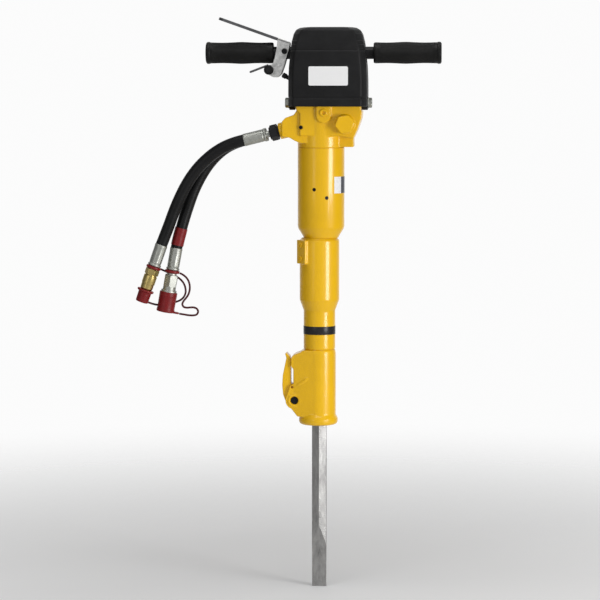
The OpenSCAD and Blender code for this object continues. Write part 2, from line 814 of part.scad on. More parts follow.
module male_lanyard() {
    color(RED) sweep(MALE_LANYARD, cord_d, 8);
}

module female_lanyard() {
    color(RED) sweep(FEMALE_LANYARD, cord_d, 8);
}

chisel();
tool_bush();
front_body();
marker_band();
retainer_housing();
retainer_latch();
latch_pin();
latch_spring();
pad_screws();
piston();
piston_bush();
piston_seals();
distributor_valve();
cylinder_liner();
upper_cylinder();
gallery_plugs();
blank_label();
backhead();
hex_plug();
socket_plug();
accumulator_diaphragm();
charge_valve();
trigger_sleeve();
trigger_spool();
spool_spring();
push_rod();
cover();
cover_bolts();
blank_badge();
arm_pins();
arm_stops();
left_arm();
right_arm();
left_arm_spring();
right_arm_spring();
left_grip();
right_grip();
lever_pin();
throttle_lever();
catch_pin();
safety_catch();
catch_knob();
hose_adaptors();
hose_nuts();
upper_ferrules();
pressure_hose();
return_hose();
hose_marker();
lower_ferrules();
cap_rings();
male_coupler();
female_coupler();
coupler_sleeve();
male_poppet();
female_poppet();
male_cap();
female_cap();
male_lanyard();
female_lanyard();
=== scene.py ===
"""Looks for a hand-held hydraulic breaker: detailed pieces and procedural materials over the CAD frame.

Lengths are written in millimetres and turned into metres by the helpers.
"""
import json
import math

import bmesh
import bpy
from mathutils import Matrix, Vector

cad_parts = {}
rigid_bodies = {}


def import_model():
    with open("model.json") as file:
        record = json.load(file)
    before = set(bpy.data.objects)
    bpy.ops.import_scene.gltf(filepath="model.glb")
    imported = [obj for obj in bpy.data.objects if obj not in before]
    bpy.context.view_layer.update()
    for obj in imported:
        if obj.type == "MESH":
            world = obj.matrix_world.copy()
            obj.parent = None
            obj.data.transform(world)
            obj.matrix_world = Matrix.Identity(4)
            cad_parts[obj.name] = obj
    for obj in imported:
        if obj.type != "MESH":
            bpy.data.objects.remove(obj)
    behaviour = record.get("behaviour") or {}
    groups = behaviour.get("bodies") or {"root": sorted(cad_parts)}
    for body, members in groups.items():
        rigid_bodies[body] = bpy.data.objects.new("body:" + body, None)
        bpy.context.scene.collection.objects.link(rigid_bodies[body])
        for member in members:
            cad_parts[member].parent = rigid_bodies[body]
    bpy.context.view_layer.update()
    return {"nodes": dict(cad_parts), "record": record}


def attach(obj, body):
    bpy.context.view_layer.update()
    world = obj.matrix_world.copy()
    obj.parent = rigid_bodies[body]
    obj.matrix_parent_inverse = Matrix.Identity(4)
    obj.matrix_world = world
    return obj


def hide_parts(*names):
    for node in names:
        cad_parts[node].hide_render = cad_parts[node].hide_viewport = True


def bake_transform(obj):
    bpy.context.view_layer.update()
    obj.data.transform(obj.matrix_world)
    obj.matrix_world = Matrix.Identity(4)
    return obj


for leftover in list(bpy.data.objects):
    bpy.data.objects.remove(leftover)
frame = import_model()
nodes = frame["nodes"]

MM = 0.001

# Heights and places along the tool axis, as in the CAD model
BAR_Z = 1044
COVER_X = 17.5
COVER_HALF_W = 76
COVER_HALF_D = 62
BOLT_Z = 948
LEVER_PIVOT = (-67, 0, 1047)
CATCH_PIVOT = (-97, 0, 1011)
BARREL = (-83, 0, 1008)
VALVE = (-75, -8, 1004)
VALVE_TILT = 118
PORT = (-75, 0, 893.5)
PORT_TILT = 256
PORT_Y = 17.5
MALE_END = (-308, -8, 672)
MALE_TILT = 199.5
FEMALE_END = (-280.5, 9, 665)
FEMALE_TILT = 190.3
HOSE_D = 23
LANYARD_D = 4

# Routes of the hoses and the cap lanyards, as in the CAD model
PRESSURE_ROUTE = [
    (-145.8, -17.5, 875.8), (-166, -17.5, 870), (-185, -17, 862), (-203, -16.5, 851),
    (-219, -16, 838), (-234, -15, 823), (-247, -14, 806.5), (-258.5, -13, 788.5),
    (-268.5, -12, 769.5), (-277.5, -11, 750), (-285.5, -10, 730), (-293, -9, 710),
    (-300.5, -8.5, 691), (-308, -8, 672),
]
RETURN_ROUTE = [
    (-145.8, 17.5, 875.8), (-164, 17.5, 870), (-181.5, 17, 861.5), (-197, 16.5, 850),
    (-210.5, 16, 836.5), (-222.5, 15, 821), (-233, 14, 804), (-242.5, 13, 785.5),
    (-250.5, 12, 766.5), (-257.5, 11.5, 746.5), (-264, 11, 726.5), (-270, 10, 706),
    (-275.5, 9.5, 685.5), (-280.5, 9, 665),
]
MALE_LANYARD = [
    (-314.7, 3.4, 624.4), (-311, 9, 622.5), (-306, 16, 619.5), (-299, 22.5, 615.5),
    (-291, 27, 611.5), (-283, 28.5, 607), (-275, 27, 601.5), (-268.5, 25, 594),
    (-265, 23, 585), (-264.5, 22, 576), (-268, 23, 567.5), (-275, 26.5, 561),
    (-284, 30, 557), (-294, 32, 554), (-304, 31.5, 552), (-313, 27, 551),
    (-321, 19.5, 552), (-328.5, 11.5, 554.5), (-336, 3.5, 558),
]
FEMALE_LANYARD = [
    (-274.2, 9, 615.3), (-268, 9, 612), (-261.5, 9, 606.5), (-257, 8.5, 599.5), (-254.8, 8, 591),
    (-255, 8, 582), (-257.5, 7.5, 573.5), (-262, 7.5, 566.5), (-267, 8, 560.5), (-269.5, 8, 554),
    (-266.5, 8, 549), (-260.5, 8, 547.5), (-254, 8, 548), (-247, 8, 548), (-241, 8, 545.5),
    (-238.5, 8, 540), (-241, 8, 534.5), (-247, 8.5, 532.5), (-256, 9, 532.5), (-266, 9, 534),
    (-275.9, 9, 535.5),
]


# ---- Materials ----

# The colour sockets of a mix node
MIX_LOW, MIX_HIGH, MIX_RESULT = 6, 7, 2

# Where the blank label's dark part starts
LABEL_SPLIT_X = 42.8


def rgba(value):
    """A colour or a grey as the four numbers that a socket takes"""
    return (*value, 1) if isinstance(value, tuple) else (value, value, value, 1)


def set_stops(node, stops):
    """Fills a colour ramp from (position, colour or grey) stops"""
    elements = node.color_ramp.elements
    while len(elements) < len(stops):
        elements.new(0.5)
    for element, (position, value) in zip(elements, stops):
        element.position = position
        element.color = rgba(value)


class Shader:
    """A node tree under construction, with one Principled shader."""

    def __init__(self, name, color, rough, metallic=0.0):
        self.mat = bpy.data.materials.new(name)
        self.mat.use_nodes = True
        self.tree = self.mat.node_tree
        self.bsdf = self.tree.nodes["Principled BSDF"]
        self.set(self.bsdf, **{"Base Color": (*color, 1), "Roughness": rough, "Metallic": metallic})
        coords = self.add("ShaderNodeTexCoord")
        self.place = coords.outputs["Object"]
        self.height = None

    def add(self, kind, **values):
        node = self.tree.nodes.new(kind)
        self.set(node, **values)
        return node

    def set(self, node, **values):
        for key, value in values.items():
            if key in node.inputs:
                node.inputs[key].default_value = value
            else:
                setattr(node, key, value)

    def link(self, out, into):
        self.tree.links.new(out, into)

    def stretched(self, scale):
        """Object coordinates scaled on each axis, for grain that runs one way"""
        mapping = self.add("ShaderNodeMapping", Scale=scale)
        self.link(self.place, mapping.inputs["Vector"])
        return mapping.outputs["Vector"]

    def noise(self, scale, detail=4.0, rough=0.55, stretch=None):
        """A noise pattern, with scale in features per metre"""
        node = self.add("ShaderNodeTexNoise", Scale=scale, Detail=detail, Roughness=rough)
        self.link(self.stretched(stretch) if stretch else self.place, node.inputs["Vector"])
        return node.outputs["Fac"]

    def cells(self, scale, feature="F1", output="Distance"):
        """A pattern of cells, with scale in cells per metre"""
        node = self.add("ShaderNodeTexVoronoi", Scale=scale, feature=feature)
        self.link(self.place, node.inputs["Vector"])
        return node.outputs[output]

    def ramp(self, fac, *stops):
        """A colour ramp from (position, colour or grey) stops"""
        node = self.add("ShaderNodeValToRGB")
        set_stops(node, stops)
        self.link(fac, node.inputs["Fac"])
        return node.outputs["Color"]

    def feed(self, socket, value):
        """Links an output to an input, or sets the input to a colour or a number"""
        if isinstance(value, bpy.types.NodeSocket):
            self.link(value, socket)
        else:
            socket.default_value = rgba(value) if isinstance(value, tuple) else value

    def mix(self, fac, low, high):
        """Mixes two colours, each a tuple or a socket"""
        node = self.add("ShaderNodeMix", data_type="RGBA")
        self.feed(node.inputs["Factor"], fac)
        self.feed(node.inputs[MIX_LOW], low)
        self.feed(node.inputs[MIX_HIGH], high)
        return node.outputs[MIX_RESULT]

    def math(self, operation, a, b):
        node = self.add("ShaderNodeMath", operation=operation)
        self.feed(node.inputs[0], a)
        self.feed(node.inputs[1], b)
        return node.outputs[0]

    def color(self, socket):
        self.link(socket, self.bsdf.inputs["Base Color"])

    def rough(self, fac, low, high):
        node = self.add("ShaderNodeMapRange", **{"To Min": low, "To Max": high})
        self.link(fac, node.inputs["Value"])
        self.link(node.outputs["Result"], self.bsdf.inputs["Roughness"])

    def bump(self, height, depth):
        """Adds a bump of that depth in metres, on top of the bumps so far"""
        node = self.add("ShaderNodeBump", Strength=1.0, Distance=depth)
        self.link(height, node.inputs["Height"])
        if self.height is not None:
            self.link(self.height, node.inputs["Normal"])
        self.height = node.outputs["Normal"]
        self.link(self.height, self.bsdf.inputs["Normal"])


def paint(name, color, sand):
    """Glossy machine paint; sand is how much of a casting's texture shows through, from 0 to 1"""
    s = Shader(name, color, 0.34)
    s.set(s.bsdf, **{"Coat Weight": 0.6, "Coat Roughness": 0.16, "Specular IOR Level": 0.2})
    dusty = tuple(c * 0.9 for c in color)
    tone = s.noise(9, 5)
    s.color(s.mix(s.ramp(tone, (0.35, 0.0), (0.7, 1.0)), dusty, color))
    scuff = s.noise(60, 8, 0.7)
    s.rough(s.ramp(scuff, (0.3, 0.0), (0.75, 1.0)), 0.26, 0.5)
    s.bump(s.noise(420, 2), 0.00018)
    if sand:
        s.bump(s.noise(150, 6, 0.65), 0.0012 * sand)
        s.bump(s.cells(900), 0.0003 * sand)
    return s.mat


def steel(name, color, rough, grain=(1, 1, 1), dirt=0.25):
    """Bare or plated steel with fine grain along the axis that grain squeezes least"""
    s = Shader(name, color, rough, 1.0)
    fine = s.noise(900, 3, 0.6, stretch=grain)
    cloud = s.noise(35, 6, 0.65)
    dark = tuple(c * (1 - dirt) for c in color)
    s.color(s.mix(s.ramp(cloud, (0.3, 0.0), (0.7, 1.0)), dark, color))
    s.rough(s.math("MULTIPLY", fine, cloud), rough * 0.75, rough * 1.7)
    s.bump(fine, 0.00008)
    return s.mat


def forged(name, color):
    """Forged bar: scale mottling, light pitting and bright rubbed patches"""
    s = Shader(name, color, 0.42, 0.85)
    scale = s.noise(55, 9, 0.72, stretch=(1, 1, 0.35))
    pits = s.cells(420)
    bright = tuple(min(1, c * 1.45) for c in color)
    dark = tuple(c * 0.55 for c in color)
    mottled = s.ramp(scale, (0.3, dark), (0.5, color), (0.74, bright))
    s.color(mottled)
    s.rough(scale, 0.55, 0.3)
    s.bump(scale, 0.0006)
    s.bump(pits, 0.0003)
    return s.mat


def plated(name, color, rough):
    """Zinc plating: faint crystal patches and a passivated tint"""
    s = Shader(name, color, rough, 1.0)
    patch = s.cells(260, output="Color")
    grey = s.add("ShaderNodeRGBToBW")
    s.link(patch, grey.inputs["Color"])
    tint = tuple(c * 0.78 for c in color)
    s.color(s.mix(grey.outputs["Val"], tint, color))
    smear = s.noise(120, 7, 0.7)
    s.rough(smear, rough * 0.8, rough * 1.5)
    s.bump(smear, 0.00009)
    return s.mat


def moulded(name, color, rough, grain, depth):
    """Moulded plastic with leather-like grain; grain is in cells per metre"""
    s = Shader(name, color, rough)
    s.set(s.bsdf, **{"Specular IOR Level": 0.2})
    s.bump(s.cells(grain, "SMOOTH_F1"), depth)
    cloud = s.noise(30, 6, 0.6)
    pale = tuple(min(1, c * 1.5 + 0.004) for c in color)
    s.color(s.mix(s.ramp(cloud, (0.42, 0.0), (0.8, 0.7)), color, pale))
    s.rough(cloud, rough * 0.8, min(1, rough * 1.35))
    return s.mat


def vinyl(name, color, rough):
    """Dip-moulded vinyl with a soft sheen and slow ripples"""
    s = Shader(name, color, rough)
    s.set(s.bsdf, **{"Subsurface Weight": 0.12, "Subsurface Scale": 0.002})
    s.set(s.bsdf, **{"Coat Weight": 0.12, "Coat Roughness": 0.3, "Specular IOR Level": 0.3})
    ripple = s.noise(110, 4)
    deep = tuple(c * 0.6 for c in color)
    s.color(s.mix(ripple, deep, color))
    s.rough(s.noise(260, 5), rough * 0.75, rough * 1.4)
    s.bump(ripple, 0.0005)
    s.bump(s.noise(1500, 2), 0.00006)
    return s.mat


def galvanised(name, color):
    """Dull cast alloy with pale and dark mottling and tiny dents"""
    s = Shader(name, color, 0.5, 0.3)
    s.set(s.bsdf, **{"Specular IOR Level": 0.5})
    blotch = s.noise(140, 8, 0.7)
    dark, pale = tuple(c * 0.72 for c in color), tuple(c * 1.3 for c in color)
    s.color(s.ramp(blotch, (0.32, dark), (0.5, color), (0.72, pale)))
    s.rough(blotch, 0.6, 0.36)
    s.bump(blotch, 0.0004)
    s.bump(s.cells(600), 0.00015)
    return s.mat


def printed(name, color):
    """White print with a slightly worn, uneven ink film"""
    s = Shader(name, color, 0.4)
    ink = s.noise(500, 8, 0.75)
    s.color(s.ramp(ink, (0.26, 0.35), (0.34, 0.84), (1.0, 0.9)))
    s.rough(ink, 0.3, 0.55)
    s.bump(ink, 0.00005)
    return s.mat


def label_face(name):
    """A blank label: white film with a plain dark block on its right part"""
    s = Shader(name, (0.85, 0.85, 0.84), 0.35)
    split = s.add("ShaderNodeSeparateXYZ")
    s.link(s.place, split.inputs["Vector"])
    block = s.math("GREATER_THAN", split.outputs["X"], LABEL_SPLIT_X * MM)
    film = s.ramp(s.noise(300, 6), (0.3, 0.72), (0.6, 0.88))
    s.color(s.mix(block, film, (0.05, 0.055, 0.07)))
    s.rough(s.noise(200, 5), 0.25, 0.5)
    s.bump(s.noise(800, 3), 0.00006)
    return s.mat


YELLOW = (0.9, 0.515, 0.002)
M = {
    "yellow_paint": paint("yellow_paint_smooth", YELLOW, 0),
    "yellow_cast": paint("yellow_paint_cast", YELLOW, 0.5),
    "chisel_steel": forged("chisel_forged", (0.33, 0.326, 0.32)),
    "machined_steel": steel("machined_ground", (0.58, 0.58, 0.6), 0.26, (1, 1, 0.12)),
    "black_steel": moulded("black_oxide_paint", (0.012, 0.012, 0.013), 0.36, 700, 0.0003),
    "zinc": plated("zinc_plate", (0.5, 0.51, 0.47), 0.42),
    "gold_zinc": plated("gold_passivated", (0.68, 0.53, 0.2), 0.26),
    "lever_alloy": galvanised("lever_alloy_cast", (0.8, 0.8, 0.79)),
    "bronze": steel("turned_bronze", (0.62, 0.42, 0.2), 0.3),
    "black_plastic": moulded("cover_moulding", (0.008, 0.008, 0.0085), 0.47, 1100, 0.0002),
    "grip_rubber": moulded("grip_moulding", (0.0045, 0.0045, 0.0042), 0.38, 1500, 0.0003),
    "hose_rubber": moulded("hose_jacket", (0.006, 0.006, 0.0065), 0.38, 500, 0.0002),
    "seal_rubber": moulded("nitrile_rubber", (0.02, 0.02, 0.02), 0.55, 900, 0.0001),
    "red_plastic": vinyl("red_vinyl", (0.25, 0.007, 0.009), 0.42),
    "red_cord": vinyl("red_vinyl_cord", (0.085, 0.008, 0.012), 0.45),
    "white_paint": printed("white_print", (0.88, 0.88, 0.87)),
    "band_black": moulded("band_film", (0.02, 0.02, 0.021), 0.25, 300, 0.00008),
    "label": label_face("label_film"),
    "lever_steel": steel("lever_plate", (0.2, 0.2, 0.21), 0.38, (0.15, 1, 1), 0.4),
}
slot_of = {s["node"]: s["material_slot"] for s in frame["record"]["subparts"]}
body_of = {n: b for b, members in frame["record"]["behaviour"]["bodies"].items() for n in members}


# ---- Mesh helpers ----

# A radius beyond every outline, where nothing limits a turned profile
NO_LIMIT = 1e3


def tilted(point, tilt):
    """A place whose +Z is turned by tilt from +Z toward +X"""
    return Matrix.Translation(Vector(point)) @ Matrix.Rotation(math.radians(tilt), 4, "Y")


def facing(point, turn=0, out=-1):
    """A place whose +Z points to the front (out -1) or the back (out 1), turned about the tool axis"""
    spin = Matrix.Rotation(math.radians(turn), 4, "Z")
    return spin @ Matrix.Translation(Vector(point)) @ Matrix.Rotation(math.radians(-90 * out), 4, "X")


def sideways(point, side):
    """A place whose +Z points along X, to the right (1) or the left (-1)"""
    return Matrix.Translation(Vector(point)) @ Matrix.Rotation(math.radians(90 * side), 4, "Y")


def placed(name, data):
    """A new object in the scene"""
    obj = bpy.data.objects.new(name, data)
    bpy.context.scene.collection.objects.link(obj)
    return obj


def shade(bm, angle):
    """Smooth shading that stays sharp at the edges above that angle in degrees"""
    for face in bm.faces:
        face.smooth = True
    for edge in bm.edges:
        edge.smooth = len(edge.link_faces) != 2 or edge.calc_face_angle(0) < math.radians(angle)


def piece(name, verts, faces, place=None, smooth=35):
    """A mesh object from millimetre points, moved to its place and smoothed below that angle"""
    place = place or Matrix.Identity(4)
    mesh = bpy.data.meshes.new(name)
    mesh.from_pydata([(place @ Vector(v)) * MM for v in verts], [], faces)
    mesh.validate()
    bm = bmesh.new()
    bm.from_mesh(mesh)
    bmesh.ops.recalc_face_normals(bm, faces=bm.faces)
    shade(bm, smooth)
    bm.to_mesh(mesh)
    bm.free()
    return placed(name, mesh)


def loft(name, rings, place=None, smooth=35):
    """A closed solid through rings that all have the same count of points"""
    n = len(rings[0])
    last = (len(rings) - 1) * n
    faces = [(k + i, k + (i + 1) % n, k + n + (i + 1) % n, k + n + i)
             for k in range(0, last, n) for i in range(n)]
    faces += [tuple(range(n)), tuple(reversed(range(last, last + n)))]
    return piece(name, [point for ring in rings for point in ring], faces, place, smooth)


def join(name, parts):
    """One object from several mesh objects"""
    bm = bmesh.new()
    for part in parts:
        bm.from_mesh(part.data)
    first = parts[0]
    bm.to_mesh(first.data)
    bm.free()
    for part in parts[1:]:
        bpy.data.objects.remove(part)
    first.name = name
    return first


def finish_piece(obj, material, body, *replaced):
    """Gives a piece its material and its body, and hides the CAD nodes that it stands for"""
    obj.data.materials.clear()
    obj.data.materials.append(M[material])
    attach(obj, body)
    if replaced:
        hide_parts(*replaced)
    return obj


def finish_stretched(obj, material, node):
    """Gives a piece that spans from the housing to another body its material, hides its CAD node and bakes
    its place into its points, in metres
    """
    obj.data.materials.append(M[material])
    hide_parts(node)
    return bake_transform(obj)


def corner_curve(before, corner, after, size, share, steps):
    """Points that round a corner and take up at most that share of each side"""
    a, b = before - corner, after - corner
    length = min(size, a.length * share, b.length * share)
    start, end = corner + a.normalized() * length, corner + b.normalized() * length
    spots = [i / steps for i in range(steps + 1)]
    return [start * (1 - t) ** 2 + corner * 2 * t * (1 - t) + end * t ** 2 for t in spots]


def soften(line, size, share=0.45):
    """Rounds the inner corners of an open line of points"""
    points = [Vector(p) for p in line]
    out = [points[0]]
    for before, corner, after in zip(points, points[1:], points[2:]):
        out += corner_curve(before, corner, after, size, share, 2)
    return [tuple(p) for p in [*out, points[-1]]]


def rounded_loop(points, size, steps=3):
    """A closed outline with rounded corners"""
    ring = [Vector(p) for p in points]
    out = []
    for before, corner, after in zip([ring[-1], *ring], ring, [*ring[1:], ring[0]]):
        out += corner_curve(before, corner, after, size, 0.45, steps)
    return out


def lathe(name, profile, place, sides=72, outline=None, size=0.5, loop=False):
    """Turns a profile of (radius, height) points about the place's +Z

    outline(angle, height) limits the radius, as on a hexagon. A loop is a closed profile, as of a ring.
    """
    rings = soften(profile, size)
    verts, starts = [], []
    for r, h in rings:
        starts.append(len(verts))
        if r < 1e-6:
            verts.append((0, 0, h))
            continue
        for i in range(sides):
            a = math.tau * i / sides
            reach = min(r, outline(a, h)) if outline else r
            verts.append((reach * math.cos(a), reach * math.sin(a), h))
    faces = []
    pairs = list(zip(range(len(rings)), range(1, len(rings))))
    if loop:
        pairs.append((len(rings) - 1, 0))
    for j, k in pairs:
        ring_j, ring_k = rings[j][0] >= 1e-6, rings[k][0] >= 1e-6
        for i in range(sides):
            n = (i + 1) % sides
            if ring_j and ring_k:
                faces.append((starts[j] + i, starts[j] + n, starts[k] + n, starts[k] + i))
            elif ring_k:
                faces.append((starts[j], starts[k] + n, starts[k] + i))
            elif ring_j:
                faces.append((starts[j] + i, starts[j] + n, starts[k]))
    return piece(name, verts, faces, place)


def hexagon(flats, turn=0, low=-NO_LIMIT, high=NO_LIMIT):
    """The outline of a hexagon between two heights, with a corner at turn degrees"""
    def reach(angle, height):
        if not low < height < high:
            return NO_LIMIT
        within = (angle - math.radians(turn)) % (math.pi / 3) - math.pi / 6
        return flats / 2 / math.cos(within)
    return reach


def fluted(radius, count, depth, low, high):
    """The outline of flutes or crimps between two heights"""
    def reach(angle, height):
        if not low <= height <= high:
            return NO_LIMIT
        return radius - depth * (0.5 - 0.5 * math.cos(count * angle)) ** 0.6
    return reach


def smooth_route(points, per=6):
    """A Catmull-Rom curve through the points"""
    p = [Vector(q) for q in points]
    p = [2 * p[0] - p[1], *p, 2 * p[-1] - p[-2]]
    out = []
    for a, b, c, d in zip(p, p[1:], p[2:], p[3:]):
        for i in range(per):
            t = i / per
            out.append(0.5 * (2 * b + (c - a) * t + (2 * a - 5 * b + 4 * c - d) * t ** 2
                              + (3 * b - a - 3 * c + d) * t ** 3))
    out.append(p[-2])
    return out


def tube(name, path, radius, sides=24):
    """A round tube along a path, closed at both ends; a radius can be a function of the share travelled"""
    tangents = [(b - a).normalized() for a, b in zip([path[0], *path[:-1]], [*path[1:], path[-1]])]
    turns = [math.tau * j / sides for j in range(sides)]
    side = tangents[0].orthogonal().normalized()
    rings = []
    for i, (point, tangent) in enumerate(zip(path, tangents)):
        side = (side - tangent * side.dot(tangent)).normalized()
        up = tangent.cross(side)
        r = radius(i / (len(path) - 1)) if callable(radius) else radius
        rings.append([point + (side * math.cos(a) + up * math.sin(a)) * r for a in turns])
    return loft(name, rings)


def helix(name, radius, wire, z0, z1, turns, place, sides=12):
    """A spring coil about the place's +Z, whose first and last turns lie almost flat"""
    per_turn, flat = 32, 0.8
    count = int(turns * per_turn)
    path = []
    for i in range(count + 1):
        t, a = i / count, math.tau * i / per_turn
        rise = min(1, max(0, (t * turns - flat) / (turns - 2 * flat)))
        height = z0 + wire / 2 + wire * t * 1.2 + (z1 - z0 - wire * 2.2) * rise
        path.append(place @ Vector((radius * math.cos(a), radius * math.sin(a), height)))
    return tube(name, path, wire / 2, sides)


def slab(name, outline, y0, y1, edge):
    """An outline of (x, z) points between two depths, with its edges bevelled"""
    return bevelled(loft(name, [[(x, y, z) for x, z in outline] for y in (y0, y1)]), edge)


def bevelled(obj, edge):
    """Applies a rounded bevel to the sharp edges"""
    mod = obj.modifiers.new("edge", "BEVEL")
    mod.width, mod.segments = edge * MM, 3
    mod.limit_method, mod.angle_limit = "ANGLE", math.radians(30)
    return applied(obj)


def applied(obj):
    """The object with its modifiers turned into mesh"""
    graph = bpy.context.evaluated_depsgraph_get()
    graph.update()
    mesh = bpy.data.meshes.new_from_object(obj.evaluated_get(graph), depsgraph=graph)
    obj.modifiers.clear()
    obj.data = mesh
    return obj


def cut(obj, cutter):
    """Takes the cutter's solid out of the object"""
    mod = obj.modifiers.new("cut", "BOOLEAN")
    mod.operation, mod.object, mod.solver = "DIFFERENCE", cutter, "EXACT"
    applied(obj)
    bpy.data.objects.remove(cutter)
    return obj


def copied(node, name):
    """A welded copy of a CAD node's mesh, as a new object"""
    obj = placed(name, nodes[node].data.copy())
    if "custom_normal" in obj.data.attributes:
        obj.data.attributes.remove(obj.data.attributes["custom_normal"])
    bm = bmesh.new()
    bm.from_mesh(obj.data)
    bmesh.ops.remove_doubles(bm, verts=bm.verts, dist=2e-6)
    bmesh.ops.dissolve_limit(bm, angle_limit=math.radians(1), verts=bm.verts, edges=bm.edges)
    shade(bm, 35)
    bm.to_mesh(obj.data)
    bm.free()
    return obj


def cast(name, parts, voxel, passes):
    """Fuses solids into one casting with soft fillets"""
    obj = join(name, parts)
    remesh = obj.modifiers.new("fuse", "REMESH")
    remesh.mode, remesh.voxel_size, remesh.use_smooth_shade = "VOXEL", voxel * MM, True
    relax = obj.modifiers.new("relax", "SMOOTH")
    relax.factor, relax.iterations = 0.5, passes
    return applied(obj)


# ---- Camera, light and floor ----

VIEW_TURN = 3.5
VIEW_RISE = 5.0
VIEW_DISTANCE = 4.8
VIEW_CENTRE = Vector((-0.038, 0, 0.5645))
VIEW_HALF_WIDTH = 0.585

cam_data = bpy.data.cameras.new("camera")
cam_data.sensor_width = 36
cam_data.lens = 18 * VIEW_DISTANCE / VIEW_HALF_WIDTH
cam_data.clip_end = 90
camera = placed("camera", cam_data)
turn, rise = math.radians(VIEW_TURN), math.radians(VIEW_RISE)
back = Vector((math.sin(turn) * math.cos(rise), -math.cos(turn) * math.cos(rise), math.sin(rise)))
camera.location = VIEW_CENTRE + back * VIEW_DISTANCE
camera.rotation_euler = (-back).to_track_quat("-Z", "Y").to_euler()
bpy.context.scene.camera = camera


def softbox(name, place, target, size, watts):
    """A rectangular area light that faces its target"""
    light = bpy.data.lights.new(name, "AREA")
    light.shape, light.size, light.size_y, light.energy = "RECTANGLE", size[0], size[1], watts
    obj = placed(name, light)
    obj.location = place
    obj.rotation_euler = (Vector(target) - Vector(place)).to_track_quat("-Z", "Y").to_euler()


softbox("key", (2.6, -2.1, 0.62), (0, 0, 0.62), (1.15, 1.15), 66)
softbox("fill", (-2.0, -3.2, 1.4), (-0.1, 0, 0.7), (1.0, 2.2), 9)
softbox("top", (0.2, -0.5, 3.2), (0, 0, 0.8), (2.2, 1.6), 34)


def studio_world():
    """A white studio behind the object, with dim walls at its sides that darken its edges"""
    world = bpy.data.worlds.new("studio")
    world.use_nodes = True
    tree = world.node_tree
    coords = tree.nodes.new("ShaderNodeTexCoord")
    split = tree.nodes.new("ShaderNodeSeparateXYZ")
    tree.links.new(coords.outputs["Generated"], split.inputs["Vector"])
    span = tree.nodes.new("ShaderNodeMapRange")
    span.inputs["From Min"].default_value = -1
    tree.links.new(split.outputs["Y"], span.inputs["Value"])
    ramp = tree.nodes.new("ShaderNodeValToRGB")
    tree.links.new(span.outputs["Result"], ramp.inputs["Fac"])
    set_stops(ramp, ((0.0, 0.42), (0.22, 0.36), (0.45, 0.12), (0.78, 0.2), (0.95, 0.9)))
    seen = tree.nodes.new("ShaderNodeLightPath")
    shown = tree.nodes.new("ShaderNodeMix")
    shown.data_type = "RGBA"
    tree.links.new(seen.outputs["Is Camera Ray"], shown.inputs["Factor"])
    tree.links.new(ramp.outputs["Color"], shown.inputs[MIX_LOW])
    shown.inputs[MIX_HIGH].default_value = rgba(0.97)
    tree.links.new(shown.outputs[MIX_RESULT], tree.nodes["Background"].inputs["Color"])
    return world


bpy.context.scene.world = studio_world()
bpy.context.scene.view_settings.view_transform = "Standard"

FLOOR_R = 2600


def floor_paper():
    """White paper that fades out towards the floor's edge"""
    s = Shader("floor_paper", (0.93, 0.93, 0.93), 0.9)
    s.color(s.ramp(s.noise(2, 3), (0.0, 0.91), (1.0, 0.94)))
    reach = s.add("ShaderNodeVectorMath", operation="LENGTH")
    s.link(s.place, reach.inputs[0])
    fade = s.add("ShaderNodeMapRange", interpolation_type="SMOOTHSTEP",
                 **{"From Min": 0.2, "From Max": 2.4, "To Min": 1.0, "To Max": 0.0})
    s.link(reach.outputs["Value"], fade.inputs["Value"])
    s.link(fade.outputs["Result"], s.bsdf.inputs["Alpha"])
    return s.mat


floor = lathe("floor", [(0, -0.4), (FLOOR_R, -0.4)], None, 96, size=0)
floor.data.materials.append(floor_paper())


# ---- Hoses and lanyards ----

def hose(name, route):
    """A hose's jacket, with its path in metres"""
    path = smooth_route(route, 8)
    obj = tube(name + "_jacket", path, HOSE_D / 2 - 0.05, 40)
    finish_piece(obj, "hose_rubber", "housing", name)
    return obj, [tuple(p * MM) for p in path]


def lanyard(node, route):
    """A vinyl lanyard along its route, with its path in metres"""
    path = smooth_route(route, 6)
    obj = tube(node + "_cord", path, LANYARD_D / 2 - 0.02, 16)
    finish_stretched(obj, "red_cord", node)
    return obj, [tuple(p * MM) for p in path]


pressure_hose, pressure_path = hose("pressure_hose", PRESSURE_ROUTE)
return_hose, return_path = hose("return_hose", RETURN_ROUTE)
male_lanyard, male_path = lanyard("male_lanyard", MALE_LANYARD)
female_lanyard, female_path = lanyard("female_lanyard", FEMALE_LANYARD)


# ---- Chisel and its holder ----

def dress(*names, material=None):
    """Gives CAD nodes that keep their shape their material"""
    for name in names:
        for slot in nodes[name].material_slots:
            slot.material = M[material or slot_of[name]]


def rounded(node, material, edge):
    """Stands a copy with rounded edges in for a CAD node"""
    obj = bevelled(copied(node, node + "_edged"), edge)
    return finish_piece(obj, material, body_of[node], node)


rounded("chisel", "chisel_steel", 0.5)
dress("tool_bush", "piston", "piston_bush", "piston_seals", "distributor_valve", "cylinder_liner")
dress("accumulator_diaphragm", "trigger_sleeve", "trigger_spool", "arm_pins", "arm_stops")
dress("male_poppet", "female_poppet")
dress("catch_pin", material="black_steel")

front_body = cast("front_body_casting", [copied("front_body", "front")], 1.3, 3)
finish_piece(front_body, "yellow_cast", "housing", "front_body")

NECK_R = 30.75
BAND_LOW, BAND_HIGH = 499, 515
band_profile = [(NECK_R - 0.3, BAND_LOW), (NECK_R + 0.5, BAND_LOW),
                (NECK_R + 0.5, BAND_HIGH), (NECK_R - 0.3, BAND_HIGH)]
band = lathe("marker_band_film", band_profile, None, 96, size=0.25)
finish_piece(band, "band_black", "housing", "marker_band")

RIB = [(-44, -20, 398), (-36, -22.2, 403.5), (-28, -24.6, 409), (-20, -26.8, 414.5)]


def rib_radius(t):
    """The retainer rib's radius along its length, with blunt ends"""
    return 2.9 * math.sqrt(max(0.05, 1 - (2 * t - 1) ** 4))


